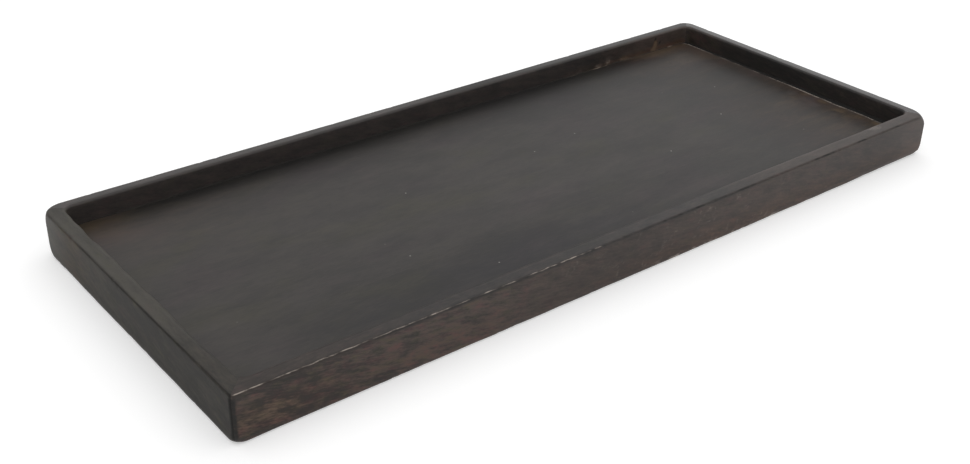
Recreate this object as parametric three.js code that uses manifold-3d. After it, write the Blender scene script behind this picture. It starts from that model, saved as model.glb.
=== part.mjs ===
// A low-rimmed wooden serving tray: four mitred, grooved rails round an edge-glued panel.
// Millimetres, +Z up, +X along the length, front at -Y, origin at the middle of the underside.
import * as THREE from "three";
import { mergeVertices } from "three/addons/utils/BufferGeometryUtils.js";
import Module from "manifold-3d";

const wasm = await Module();
wasm.setup();

// Overall size
const LENGTH = 450;
const WIDTH = 192;
const HEIGHT = 25;

// Rail section: the thickness of each rail and the rounding of its four long arrises
const FRONT_RAIL_THICKNESS = 9;
const RIGHT_RAIL_THICKNESS = 6.6;
const BACK_RAIL_THICKNESS = 6.6;
const LEFT_RAIL_THICKNESS = 9;
const TOP_OUTER_ROUND = 1.1;
const TOP_INNER_ROUND = 1.6;
const BOTTOM_OUTER_ROUND = 1.6;
const BOTTOM_INNER_ROUND = 0.6;

// Corner radii seen from above, halfway up the walls and in the well
const FRONT_CORNER_RADIUS = 1.5;
const BACK_RIGHT_CORNER_RADIUS = 3;
const BACK_LEFT_CORNER_RADIUS = 6;
const WELL_CORNER_RADIUS = 5;

// How much the outer corner radii grow at the rim and at the foot, and from how far away
const FRONT_LEFT_RIM_SOFTENING = 0.5;
const FRONT_RIGHT_RIM_SOFTENING = 9;
const FRONT_FOOT_SOFTENING = 5;
const BACK_RIGHT_RIM_SOFTENING = 4;
const BACK_LEFT_RIM_SOFTENING = 4;
const BACK_FOOT_SOFTENING = 4;
const SOFTENING_HEIGHT = 7;

// Panel: how high it sits, and its tongue between an upper and a lower shoulder
const UNDERSIDE_RECESS = 2;
const LOWER_SHOULDER = 3;
const TONGUE_THICKNESS = 5;
const UPPER_SHOULDER = 3.5;
const TONGUE_LENGTH = 3.5;
const BOARD_COUNT = 4;

// Headless pins, two across each mitre, sunk below the end faces
const PIN_DIAMETER = 1.4;
const PIN_LENGTH = 18;
const PIN_POINT_LENGTH = 2;
const PIN_HEAD_DIAMETER = 2;
const PIN_HEAD_LENGTH = 1;
const PIN_COVER = 0.8;

// Fits
const GLUE_LINE = 0.2;
const PANEL_CLEARANCE = 0.3;
const PIN_CLEARANCE = 0.1;

// Facets
const CORNER_STEPS = 11;
const ARRIS_STEPS = 5;
const SOFTENING_STEPS = 3;
const PIN_SIDES = 12;

// Heights that the rails and the panel share
const TONGUE_BOTTOM = UNDERSIDE_RECESS + LOWER_SHOULDER;
const TONGUE_TOP = TONGUE_BOTTOM + TONGUE_THICKNESS;
const SERVING_FACE = TONGUE_TOP + UPPER_SHOULDER;
const GROOVE_TOP = TONGUE_TOP + PANEL_CLEARANCE;
const GROOVE_DEPTH = TONGUE_LENGTH + PANEL_CLEARANCE;

const railWood = new THREE.MeshStandardMaterial({ color: 0x3b322d, roughness: 0.5, metalness: 0 });
const panelWood = new THREE.MeshStandardMaterial({ color: 0x37332f, roughness: 0.45, metalness: 0 });
const pinSteel = new THREE.MeshStandardMaterial({ color: 0x8d8f91, roughness: 0.35, metalness: 1 });

// The sides in turn, each from one corner to the next: front, right, back, left
const SIDES = [
  { name: "front_rail", thickness: FRONT_RAIL_THICKNESS },
  { name: "right_rail", thickness: RIGHT_RAIL_THICKNESS },
  { name: "back_rail", thickness: BACK_RAIL_THICKNESS },
  { name: "left_rail", thickness: LEFT_RAIL_THICKNESS },
];

// The outer corners in the same turn, each at the start of its side
const CORNERS = [
  {
    name: "front_left",
    x: -1,
    y: -1,
    radius: FRONT_CORNER_RADIUS,
    rim: FRONT_LEFT_RIM_SOFTENING,
    foot: FRONT_FOOT_SOFTENING,
  },
  {
    name: "front_right",
    x: 1,
    y: -1,
    radius: FRONT_CORNER_RADIUS,
    rim: FRONT_RIGHT_RIM_SOFTENING,
    foot: FRONT_FOOT_SOFTENING,
  },
  {
    name: "back_right",
    x: 1,
    y: 1,
    radius: BACK_RIGHT_CORNER_RADIUS,
    rim: BACK_RIGHT_RIM_SOFTENING,
    foot: BACK_FOOT_SOFTENING,
  },
  {
    name: "back_left",
    x: -1,
    y: 1,
    radius: BACK_LEFT_CORNER_RADIUS,
    rim: BACK_LEFT_RIM_SOFTENING,
    foot: BACK_FOOT_SOFTENING,
  },
];

// The corners of a rectangle that lies some way in from the front, right, back and left outer faces.
function cornerPoints([front, right, back, left]) {
  return CORNERS.map(({ x, y }) => [
    x < 0 ? left - LENGTH / 2 : LENGTH / 2 - right,
    y < 0 ? front - WIDTH / 2 : WIDTH / 2 - back,
  ]);
}

// The outline of the tray at one level: such a rectangle with rounded corners.
function outline({ insets, radii }) {
  return cornerPoints(insets).flatMap(([cornerX, cornerY], corner) => {
    const radius = radii[corner];
    const centreX = cornerX - CORNERS[corner].x * radius;
    const centreY = cornerY - CORNERS[corner].y * radius;
    const startAngle = Math.PI + (corner * Math.PI) / 2;
    return Array.from({ length: CORNER_STEPS + 1 }, (_, step) => {
      const angle = startAngle + (step / CORNER_STEPS) * (Math.PI / 2);
      return [centreX + radius * Math.cos(angle), centreY + radius * Math.sin(angle)];
    });
  });
}

// A skin over a run of levels; a closed run joins its last level to its first, an open one gets end caps.
function loft(levels, closed) {
  const outlines = levels.map(outline);
  const around = outlines[0].length;
  const positions = outlines.flatMap((points, i) => points.flatMap(([x, y]) => [x, y, levels[i].z]));
  const faces = [];
  for (let i = 0; i < (closed ? levels.length : levels.length - 1); i++) {
    const above = (i + 1) % levels.length;
    for (let j = 0; j < around; j++) {
      const next = (j + 1) % around;
      const corners = [i * around + j, i * around + next, above * around + next, above * around + j];
      faces.push(corners[0], corners[1], corners[2], corners[0], corners[2], corners[3]);
    }
  }
  if (!closed) {
    const last = (levels.length - 1) * around;
    for (let j = 1; j < around - 1; j++) {
      faces.push(0, j + 1, j, last, last + j, last + j + 1);
    }
  }
  const geometry = new THREE.BufferGeometry();
  geometry.setAttribute("position", new THREE.Float32BufferAttribute(positions, 3));
  geometry.setIndex(faces);
  return geometry;
}

// Boolean solids to and from three.js geometry
function toSolid(geometry) {
  const bare = geometry.clone();
  bare.deleteAttribute("normal");
  bare.deleteAttribute("uv");
  const merged = mergeVertices(bare);
  return new wasm.Manifold(
    new wasm.Mesh({
      numProp: 3,
      vertProperties: merged.attributes.position.array,
      triVerts: new Uint32Array(merged.index.array),
    }),
  );
}

function toGeometry(solid) {
  const { vertProperties, triVerts } = solid.getMesh();
  const geometry = new THREE.BufferGeometry();
  geometry.setAttribute("position", new THREE.BufferAttribute(vertProperties, 3));
  geometry.setIndex(new THREE.BufferAttribute(triVerts, 1));
  geometry.computeVertexNormals();
  return geometry;
}

function namedMesh(name, geometry, material) {
  const mesh = new THREE.Mesh(geometry, material);
  mesh.name = name;
  return mesh;
}

// A quarter round as pairs: the distance in from the wall, and the distance from the face it runs into.
function quarterRound(radius) {
  return Array.from({ length: ARRIS_STEPS + 1 }, (_, step) => {
    const angle = (step / ARRIS_STEPS) * (Math.PI / 2);
    return [radius * (1 - Math.sin(angle)), radius * (1 - Math.cos(angle))];
  });
}

// The distances from the rim or the foot, beyond its round, at which the corners are being softened.
function softeningSteps(round) {
  return Array.from({ length: SOFTENING_STEPS }, (_, step) =>
    THREE.MathUtils.lerp(round, SOFTENING_HEIGHT, (step + 1) / SOFTENING_STEPS),
  );
}

// The radius of an outer corner at a height, which grows towards the rim and the foot.
function cornerRadius({ radius, rim, foot }, z) {
  const nearRim = Math.max(0, 1 - (HEIGHT - z) / SOFTENING_HEIGHT);
  const nearFoot = Math.max(0, 1 - z / SOFTENING_HEIGHT);
  return radius + rim * nearRim ** 2 + foot * nearFoot ** 2;
}

// A level on the outer wall, the same way in from all four outer faces.
function outerLevel(inset, z) {
  return { z, insets: SIDES.map(() => inset), radii: CORNERS.map((corner) => cornerRadius(corner, z)) };
}

// A level on the wall of the well, or some way out from it into the rails, with parallel corners.
function wellLevel(outward, z) {
  const radius = WELL_CORNER_RADIUS + outward;
  return { z, insets: SIDES.map(({ thickness }) => thickness - outward), radii: CORNERS.map(() => radius) };
}

// The rail's section, from the underside up the outer wall, over the rim and down past the groove.
function railSection() {
  return [
    ...quarterRound(BOTTOM_OUTER_ROUND).map(([inset, rise]) => outerLevel(inset, rise)),
    ...softeningSteps(BOTTOM_OUTER_ROUND).map((rise) => outerLevel(0, rise)),
    ...softeningSteps(TOP_OUTER_ROUND)
      .reverse()
      .map((drop) => outerLevel(0, HEIGHT - drop)),
    ...quarterRound(TOP_OUTER_ROUND)
      .reverse()
      .map(([inset, drop]) => outerLevel(inset, HEIGHT - drop)),
    ...quarterRound(TOP_INNER_ROUND).map(([outward, drop]) => wellLevel(outward, HEIGHT - drop)),
    wellLevel(0, GROOVE_TOP),
    wellLevel(GROOVE_DEPTH, GROOVE_TOP),
    wellLevel(GROOVE_DEPTH, TONGUE_BOTTOM),
    wellLevel(0, TONGUE_BOTTOM),
    ...quarterRound(BOTTOM_INNER_ROUND)
      .reverse()
      .map(([outward, rise]) => wellLevel(outward, rise)),
  ];
}

// An upright prism over a plan, taller than the tray, that cuts one piece out of it.
function cutter(plan) {
  const shape = new THREE.Shape(plan.map(([x, y]) => new THREE.Vector2(x, y)));
  const prism = new THREE.ExtrudeGeometry(shape, { depth: 2 * HEIGHT, bevelEnabled: false });
  prism.translate(0, 0, -HEIGHT / 2);
  return toSolid(prism);
}

// A mitre seen from above, from outside the outer corner to inside the well's, half a glue line aside.
function mitre(corner, turn) {
  const outer = new THREE.Vector2(...cornerPoints(SIDES.map(() => 0))[corner]);
  const inner = new THREE.Vector2(...cornerPoints(SIDES.map(({ thickness }) => thickness))[corner]);
  const along = inner.clone().sub(outer).normalize();
  const aside = new THREE.Vector2(-along.y, along.x).multiplyScalar((turn * GLUE_LINE) / 2);
  const outside = outer.clone().addScaledVector(along, -HEIGHT).add(aside);
  const inside = inner.clone().addScaledVector(along, WELL_CORNER_RADIUS).add(aside);
  return [outside.toArray(), inside.toArray()];
}

// Four rails mitred out of one moulded ring, with the holes that the pins need.
function rails(pinHoles) {
  const ring = toSolid(loft(railSection(), true));
  return SIDES.map(({ name }, side) => {
    const [startOutside, startInside] = mitre(side, -1);
    const [endOutside, endInside] = mitre((side + 1) % CORNERS.length, 1);
    const blank = ring.intersect(cutter([startOutside, endOutside, endInside, startInside]));
    const drilled = pinHoles.reduce((rail, hole) => rail.subtract(hole), blank);
    return namedMesh(name, toGeometry(drilled), railWood);
  });
}

// The panel with a tongue all round, sawn into boards that are glued edge to edge.
function panelBoards() {
  const panel = toSolid(
    loft(
      [
        wellLevel(-PANEL_CLEARANCE, UNDERSIDE_RECESS),
        wellLevel(-PANEL_CLEARANCE, TONGUE_BOTTOM),
        wellLevel(TONGUE_LENGTH, TONGUE_BOTTOM),
        wellLevel(TONGUE_LENGTH, TONGUE_TOP),
        wellLevel(-PANEL_CLEARANCE, TONGUE_TOP),
        wellLevel(-PANEL_CLEARANCE, SERVING_FACE),
      ],
      false,
    ),
  );
  const panelFront = -WIDTH / 2 + FRONT_RAIL_THICKNESS + PANEL_CLEARANCE;
  const panelBack = WIDTH / 2 - BACK_RAIL_THICKNESS - PANEL_CLEARANCE;
  const boardWidth = (panelBack - panelFront) / BOARD_COUNT;
  return Array.from({ length: BOARD_COUNT }, (_, i) => {
    const seam = panelFront + i * boardWidth;
    const front = i === 0 ? -WIDTH / 2 : seam + GLUE_LINE / 2;
    const back = i === BOARD_COUNT - 1 ? WIDTH / 2 : seam + boardWidth - GLUE_LINE / 2;
    const plan = [
      [-LENGTH / 2, front],
      [LENGTH / 2, front],
      [LENGTH / 2, back],
      [-LENGTH / 2, back],
    ];
    return namedMesh(`panel_board_${i + 1}`, toGeometry(panel.intersect(cutter(plan))), panelWood);
  });
}

// A lost-head pin along +Y from the middle of its head to its point, or the hole that it needs.
function pinGeometry(clearance) {
  const head = PIN_HEAD_DIAMETER / 2 + clearance;
  const shank = PIN_DIAMETER / 2 + clearance;
  const profile = [
    [0, -clearance],
    [head, -clearance],
    [head, PIN_HEAD_LENGTH / 2],
    [shank, PIN_HEAD_LENGTH + clearance],
    [shank, PIN_LENGTH - PIN_POINT_LENGTH + clearance],
    [0, PIN_LENGTH + clearance],
  ];
  return new THREE.LatheGeometry(
    profile.map(([radius, y]) => new THREE.Vector2(radius, y)),
    PIN_SIDES,
  );
}

// How far a rounded corner cuts into the end face at a distance in from the long face.
function cornerCut(radius, distance) {
  const offset = Math.max(radius - distance, 0);
  return radius - Math.sqrt(radius * radius - offset * offset);
}

// Two pins at each corner, one under the groove and one over it, driven from the end into the long rail.
function cornerPins() {
  const heights = { lower: TONGUE_BOTTOM / 2, upper: (GROOVE_TOP + HEIGHT) / 2 };
  return CORNERS.flatMap((corner) => {
    const pinInset = (corner.y < 0 ? FRONT_RAIL_THICKNESS : BACK_RAIL_THICKNESS) / 2;
    const holeEdge = pinInset - PIN_HEAD_DIAMETER / 2 - PIN_CLEARANCE;
    return Object.entries(heights).map(([level, z]) => {
      const headInset = cornerCut(cornerRadius(corner, z), holeEdge) + PIN_COVER + PIN_CLEARANCE;
      const pin = namedMesh(`corner_pin_${corner.name}_${level}`, pinGeometry(0), pinSteel);
      pin.position.set(corner.x * (LENGTH / 2 - headInset), corner.y * (WIDTH / 2 - pinInset), z);
      pin.rotation.z = (corner.x * Math.PI) / 2;
      pin.updateMatrix();
      return pin;
    });
  });
}

const pins = cornerPins();
const pinHoles = pins.map((pin) => toSolid(pinGeometry(PIN_CLEARANCE).applyMatrix4(pin.matrix)));

const tray = new THREE.Group();
tray.name = "serving_tray";
tray.add(...rails(pinHoles), ...panelBoards(), ...pins);

export default tray;
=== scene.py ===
"""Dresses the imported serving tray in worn, dark-stained wood on a white studio floor."""

import math
import random
from typing import NamedTuple

import bmesh
import bpy
import numpy as np
from mathutils import Matrix, Vector, noise


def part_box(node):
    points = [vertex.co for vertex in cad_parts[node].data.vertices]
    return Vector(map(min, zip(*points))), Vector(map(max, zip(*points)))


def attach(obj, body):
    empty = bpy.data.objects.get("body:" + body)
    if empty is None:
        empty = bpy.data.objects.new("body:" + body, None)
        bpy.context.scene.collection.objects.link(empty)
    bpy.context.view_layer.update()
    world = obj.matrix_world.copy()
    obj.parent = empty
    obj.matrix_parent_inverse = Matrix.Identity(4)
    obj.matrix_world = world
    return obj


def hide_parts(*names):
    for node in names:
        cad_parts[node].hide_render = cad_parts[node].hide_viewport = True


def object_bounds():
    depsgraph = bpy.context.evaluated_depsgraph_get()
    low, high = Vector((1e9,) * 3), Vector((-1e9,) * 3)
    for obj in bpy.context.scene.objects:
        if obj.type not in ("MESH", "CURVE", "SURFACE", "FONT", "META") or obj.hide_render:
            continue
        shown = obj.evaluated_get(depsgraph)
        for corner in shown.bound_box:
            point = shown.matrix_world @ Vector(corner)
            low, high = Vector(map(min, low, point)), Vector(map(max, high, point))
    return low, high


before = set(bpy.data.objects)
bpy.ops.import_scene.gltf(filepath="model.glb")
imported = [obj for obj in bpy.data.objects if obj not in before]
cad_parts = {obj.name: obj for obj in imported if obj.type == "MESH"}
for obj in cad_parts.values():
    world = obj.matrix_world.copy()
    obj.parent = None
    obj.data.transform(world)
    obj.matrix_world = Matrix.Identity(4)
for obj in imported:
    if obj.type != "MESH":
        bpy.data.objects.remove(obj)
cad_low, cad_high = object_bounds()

MM = 0.001


class Stain(NamedTuple):
    """The colours of one stained piece, and the tints that vary its hue."""

    dark: tuple
    light: tuple
    thin: tuple
    slate_tint: tuple
    olive_tint: tuple
    rose_tint: tuple


class Grain(NamedTuple):
    """Bumps of each kind to a metre along and across the grain, their weights, and the grain's slant."""

    patch: tuple
    streak: tuple
    fleck: tuple
    hue: tuple
    weights: tuple
    slant: float


class Finish(NamedTuple):
    """How far a piece's grain is shifted, how much the piece mirrors, and how rough it is."""

    shift: float
    specular: float
    roughness: float


class Fade(NamedTuple):
    """A change along an axis or with a value: none before its start, all of its amount past its end."""

    start: float
    end: float
    amount: float = 1.0

    def at(self, place):
        return self.amount * smooth_step(self.start, self.end, place)


class Span(NamedTuple):
    """A stretch of one axis: all of its amount between full and fading, none before start or past end."""

    start: float
    full: float
    fading: float
    end: float
    amount: float = 1.0

    def at(self, place):
        rise = smooth_step(self.start, self.full, place)
        return self.amount * rise * smooth_step(self.end, self.fading, place)


class Patch(NamedTuple):
    """A soft patch of one axis: all of its amount in its middle, nearly none past twice its radius."""

    middle: float
    radius: float
    amount: float = 1.0

    def at(self, place):
        return self.amount * spot(place - self.middle, self.radius)


class Mark(NamedTuple):
    """A soft mark on a face, with its middle and its radius along each of two axes."""

    middle: tuple
    radii: tuple
    amount: float = 1.0

    def at(self, first, second):
        along = (first - self.middle[0]) / self.radii[0]
        across = (second - self.middle[1]) / self.radii[1]
        return self.amount * spot(np.hypot(along, across), 1)


# Overall size and the panel's levels, from the solids
LENGTH, WIDTH, HEIGHT = cad_high - cad_low
BOARDS = [f"panel_board_{number}" for number in range(1, 5)]
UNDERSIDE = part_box(BOARDS[0])[0].z
SERVING_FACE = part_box(BOARDS[0])[1].z

# The rails in turn, each from one corner to the next, and their section
RAILS = ("front_rail", "right_rail", "back_rail", "left_rail")
FRONT, RIGHT, BACK, LEFT = range(4)
THICKNESS = (9 * MM, 6.6 * MM, 6.6 * MM, 9 * MM)
TOP_OUTER_ROUND = 1.1 * MM
TOP_INNER_ROUND = 1.6 * MM
BOTTOM_OUTER_ROUND = 1.6 * MM
BOTTOM_INNER_ROUND = 0.6 * MM

# Corner radii seen from above, in the same turn from the front left, and their growth at rim and foot
CORNER_RADIUS = (1.5 * MM, 1.5 * MM, 3 * MM, 6 * MM)
RIM_SOFTENING = (0.5 * MM, 9 * MM, 4 * MM, 4 * MM)
FOOT_SOFTENING = (5 * MM, 5 * MM, 4 * MM, 4 * MM)
SOFTENING_HEIGHT = 7 * MM
WELL_CORNER_RADIUS = 5 * MM

# Panel, groove and seams
LOWER_SHOULDER = 3 * MM
UPPER_SHOULDER = 3.5 * MM
TONGUE_LENGTH = 3.5 * MM
PANEL_CLEARANCE = 0.3 * MM
TONGUE_BOTTOM = UNDERSIDE + LOWER_SHOULDER
TONGUE_TOP = SERVING_FACE - UPPER_SHOULDER
GROOVE_TOP = TONGUE_TOP + PANEL_CLEARANCE
GROOVE_DEPTH = TONGUE_LENGTH + PANEL_CLEARANCE
HAIRLINE = 0.01 * MM
SEAM_SETBACK = 0.5 * MM

# Fineness of the meshes
ARRIS_STEPS = 8
FLAT_ROWS = 8
WALL_ROWS = 20
CORNER_STEPS = 8
STATION_SPACING = 1.2 * MM
BOARD_CELL = 3 * MM
CUT_TOLERANCE = 1e-7
SHARP_ANGLE = math.radians(50)

# How far the noise is moved from one seed to the next, in wavelengths
NOISE_STEP = (17.3, 5.7, 11.1)

# Zones of the rails' section, and how many rows of the lip look up
OUTER_FACE = ("foot", "wall")
EDGE_ZONES = ("foot", "arris", "lip")
LIP_TOP_ROWS = 2

# Camera, solved from the outline of the tray in the picture
IMAGE_WIDTH = 970
IMAGE_HEIGHT = 464
SENSOR_WIDTH = 36
FOCAL_PIXELS = 1276.286
CAMERA_AZIMUTH = math.radians(-38.677)
CAMERA_ELEVATION = math.radians(29.289)
CAMERA_ROLL = math.radians(0.979)
CAMERA_DISTANCE = 685.428 * MM
CAMERA_NEAR = 10 * MM
TARGET_PIXEL = (520.329, 177.888)

# Hand wear: how deep it goes in each zone of the section, and how it changes along the rails
WEAR = {
    "foot": 0.35 * MM,
    "wall": 0.05 * MM,
    "arris": 0.1 * MM,
    "rim": 0.05 * MM,
    "lip": 0.25 * MM,
    "well": 0.06 * MM,
}
EDGE_WAVELENGTH = 14 * MM
FACE_WAVELENGTH = 60 * MM
LEFT_LIP_WEAR = Fade(84 * MM, 70 * MM, 3.6 * WEAR["lip"])
LEFT_LIP_DEPTH = Fade(SERVING_FACE, HEIGHT - TOP_INNER_ROUND)
FOOT_LIFT = Fade(140 * MM, 200 * MM, 0.45 * MM)
DENT_SEED = 40
DENT_SPACING = 26 * MM
DENT_WIDTH = (0.6 * MM, 1.8 * MM)
DENT_DEPTH = (0.05 * MM, 0.22 * MM)
DENT_INSET = 0.4 * MM
DENT_HEIGHTS = (HEIGHT - 0.4 * MM, 0.8 * MM)
DENT_REACH = 0.47

# Front rail: the line along its top arris, pale bare wood on the left and painted shade on the right
PALE_LINE = (Fade(-160 * MM, -110 * MM, -0.25), Fade(-50 * MM, 20 * MM, -1.0))
PALE_LINE_START = Fade(-223.5 * MM, -222.5 * MM)
PALE_LINE_ROW = 5.5
PALE_LINE_SPREAD = 1.2
DARK_LINE_START = Fade(-10 * MM, 30 * MM)
DARK_LINE_ROWS = (3, 4, 5, 6, 7)

# Front rail: the pale spot on its lip, the scuffs along its foot and the pale curls on its wall
LIP_SPOT_PLACE = (184.5 * MM, -90.3 * MM)
LIP_SPOT_SIZE = (4.5 * MM, 2.2 * MM)
LIP_SPOT_EDGE = Fade(1.3, 0.8, 0.22)
LIP_SPOT_TIP = Mark((180.5 * MM, -88.5 * MM), (1.2 * MM, 1.2 * MM), 0.25)
SCUFFS = Span(-10 * MM, 30 * MM, 90 * MM, 120 * MM, 0.8)
SCUFF_EDGE = Fade(0.0, 0.5)
SCUFF_HEIGHT = Fade(2.8 * MM, 1.0 * MM)
CURLS = Span(-80 * MM, -50 * MM, 80 * MM, 130 * MM, 0.18)
CURL_EDGE = Fade(0.1, 0.02)
CURL_CLUSTERS = Fade(0.0, 0.2)

# Front rail: how its stain changes along it and up it, and the sheen painted on its rim and lip
FRONT_TONE = (
    Fade(-212 * MM, -220 * MM, 0.3),
    Fade(-165 * MM, -195 * MM, -0.3),
    Patch(-178 * MM, 14 * MM, -0.3),
    Patch(-120 * MM, 40 * MM, 0.25),
    Patch(-10 * MM, 50 * MM, -0.2),
    Fade(80 * MM, 120 * MM, -0.1),
    Fade(130 * MM, 180 * MM, -0.3),
    Fade(190 * MM, 215 * MM, 0.5),
)
FRONT_FIGURE = (Fade(-120 * MM, -50 * MM, -0.6), Fade(160 * MM, 200 * MM, -0.15))
FRONT_POLISH = Fade(-50 * MM, 200 * MM, 0.3)
FRONT_LEFT_END = Fade(-170 * MM, -215 * MM)
FRONT_LEFT = Fade(-60 * MM, -100 * MM)
FRONT_RIGHT = Fade(-50 * MM, 20 * MM)
FRONT_UPPER = Fade(9 * MM, 20 * MM)
FRONT_LOWER = Fade(16 * MM, 4 * MM)
FRONT_BAND = Patch(11.5 * MM, 7 * MM)
# Painted sheen: the front rim lighter towards the right and darker at the left
FRONT_RIM_TONE = (Fade(-50 * MM, -120 * MM, -0.1), Fade(70 * MM, 110 * MM, 0.2))
FRONT_RIM_WARM = (Fade(-120 * MM, -210 * MM, 0.3), Fade(40 * MM, 130 * MM, 0.5))
FRONT_RIM_POLISH = Fade(-80 * MM, 120 * MM, 0.45)
FRONT_LIP_SHEEN = Fade(20 * MM, 100 * MM)

# Right rail: its rim painted lighter as sheen, more at the back, its inner wall painted darker as shade,
# most in the middle
RIGHT_RIM_SHEEN = Fade(30 * MM, 60 * MM, 0.6)
RIGHT_WALL_SHADE = (Patch(10 * MM, 25 * MM, 0.15), Fade(50 * MM, 75 * MM, -0.25))

# Back rail: its rim, the brown right end of its inner wall, the marks there, and the shade painted on that
# wall
BACK_RIM_TONE = (
    Fade(0, 40 * MM, -0.5),
    Patch(45 * MM, 30 * MM, -0.9),
    Span(70 * MM, 90 * MM, 120 * MM, 150 * MM, -0.4),
)
BACK_RIM_POLISH = Patch(45 * MM, 35 * MM, -0.9)
BACK_BROWN = Fade(130 * MM, 175 * MM)
BACK_SHADE = Patch(145 * MM, 25 * MM, -0.3)
BACK_FOOT = Fade(105 * MM, 140 * MM)
BACK_FOOT_HEIGHT = Fade(SERVING_FACE + 5 * MM, SERVING_FACE + 1 * MM)
RUBBED_FOOT = Patch(143 * MM, 26 * MM)
RUBBED_FOOT_EDGE = Fade(-0.2, 0.4)
RUBBED_FOOT_HEIGHT = Fade(SERVING_FACE + 3 * MM, SERVING_FACE + 1.5 * MM)
RUBBED_PATCH = Mark((149.5 * MM, 16.2 * MM), (7.2 * MM, 2.4 * MM))
RUBBED_PATCH_EDGE = Fade(-0.3, 0.3)
YELLOW_MARK = (
    Mark((190 * MM, 18.5 * MM), (1.7 * MM, 2.267 * MM)),
    Mark((188.2 * MM, 14.8 * MM), (1.7 * MM, 1.7 * MM), 0.6),
)
DARK_DOTS = (
    Mark((190 * MM, 21.4 * MM), (0.7 * MM, 0.7 * MM)),
    Mark((194 * MM, 18.4 * MM), (0.7 * MM, 0.7 * MM)),
)

# Left rail: the dark line along its top arris, further in at the near corner, and how its stain changes
# The dark line along the top arris is painted shade
LEFT_LINE = Fade(80 * MM, 45 * MM)
LEFT_LINE_INSET = 0.5 * MM
LEFT_LINE_DRIFT = Fade(-20 * MM, -75 * MM, 0.35 * MM)
LEFT_LINE_EDGE = Fade(0.5 * MM, 0.2 * MM)
# A painted highlight on the rim just inside the dark line
LEFT_HIGHLIGHT_LINE = Patch(-222.8 * MM, 1.2 * MM, 0.35)
LEFT_HIGHLIGHT_START = Fade(-60 * MM, -30 * MM)
LEFT_MERGING = Fade(-30 * MM, -70 * MM)
LEFT_RIM_TONE = Patch(0, 30 * MM, 0.15)
LEFT_LIP_TONE = Fade(-50 * MM, 30 * MM, 0.5)
LEFT_WARM = Patch(58 * MM, 16 * MM, 0.35)
LEFT_POLISH = Fade(60 * MM, 95 * MM, 0.8)
LEFT_TONE = Fade(-30 * MM, 90 * MM, 0.67)

# The dark near corner, where the front and left rails meet
NEAR_CORNER = Fade(2.6 * MM, 1.6 * MM, 0.8)
NEAR_CORNER_WANDER = 0.4 * MM

# Panel: the places where its stain changes, and where shade and light are painted on it
RIGHT_EDGE = LENGTH / 2 - THICKNESS[RIGHT]
PANEL_BARE = Fade(RIGHT_EDGE - 10 * MM, RIGHT_EDGE - 3 * MM, 0.1)
# Painted light: the panel lighter along the right wall, against that wall's shade and dark reflection
PANEL_FRINGE_LIGHT = Fade(RIGHT_EDGE - 16 * MM, RIGHT_EDGE - 1 * MM)
PANEL_MOTTLE = Fade(RIGHT_EDGE - 24 * MM, RIGHT_EDGE - 6 * MM)
PANEL_MOTTLE_DEPTH = Fade(5 * MM, -15 * MM)
# The right end: browner, and darker as painted shade
PANEL_RIGHT_END = Fade(120 * MM, 190 * MM)
PANEL_FADED = Patch(25 * MM, 28 * MM, -0.55)
PANEL_LEFT = Fade(-60 * MM, -190 * MM)
PANEL_BACK = Fade(-20 * MM, 70 * MM)
# Painted light: the front left of the panel lighter, against the shade of the front and left walls
PANEL_LEFT_END = Fade(-175 * MM, -205 * MM)
PANEL_FRONT = Fade(10 * MM, -50 * MM)
PANEL_LEFT_CORNER = Mark((-203 * MM, 78 * MM), (14 * MM, 14 * MM))
PANEL_RIGHT_CORNER = Mark((200 * MM, 80 * MM), (18 * MM, 18 * MM))
# Painted shade: the back right of the panel darker
PANEL_BACK_RIGHT_SHADE = Mark((80 * MM, 70 * MM), (50 * MM, 25 * MM))
PANEL_SLATE = Mark((-60 * MM, -66 * MM), (117 * MM, 26 * MM))
PANEL_BACK_EDGE = Fade(78 * MM, 88.5 * MM)
PANEL_BROWN_EDGE = Fade(120 * MM, 160 * MM)
PANEL_TONE = Fade(0, 80 * MM, -0.12)
PANEL_ROSE = (Fade(-20 * MM, 60 * MM, 0.035), Fade(-60 * MM, -140 * MM, -0.03))
# Painted shadow of the back wall on the panel: darker towards the wall, darkest at its foot
UNDER_WALL = Span(-205 * MM, -170 * MM, 110 * MM, 170 * MM)
UNDER_WALL_SHADE = Fade(45 * MM, 65 * MM, -0.25)
UNDER_WALL_SHADOW = Fade(71 * MM, 87 * MM, 0.7)
STREAKS = (
    (Patch(-66 * MM, 3.5 * MM), Span(-30 * MM, 10 * MM, 70 * MM, 130 * MM)),
    (Patch(-56 * MM, 3.5 * MM, 0.7), Span(-30 * MM, 0, 30 * MM, 60 * MM)),
)

# The bead of stain and glue where the panel meets the rails, and painted shade at the back; its profile in
# shares of its reach and rise
BEAD_PROFILE = ((0, 1), (0.5, 0.3), (0.68, 0.12), (0.75, 0.08), (1, 0))
BEAD_PALE_ROWS = (3, 4)
BEAD_RISE = 0.35 * MM
BEAD_REACH = 0.7 * MM
BEAD_WAVELENGTH = 9 * MM
BEAD_SPREAD = (0.15, 1)
BEAD_RISE_SHARE = 0.4
BEAD_BACK = Fade(88 * MM, 88.5 * MM)
# Along the back the bead widens into a dark sheet of painted shade
BEAD_BACK_SHADE_GROWTH = Span(-200 * MM, -170 * MM, 90 * MM, 130 * MM, 1.8)
BEAD_BROWN = Fade(100 * MM, 130 * MM)
BEAD_RIGHT = Fade(214.5 * MM, 217.8 * MM)
BEAD_RIGHT_GROWTH = 3
BEAD_FRONT_GROWTH = Fade(60 * MM, -80 * MM, 3)
BEAD_PALE = (Fade(62 * MM, 72 * MM, 0.6), Patch(-18 * MM, 26 * MM, 0.6))

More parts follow.
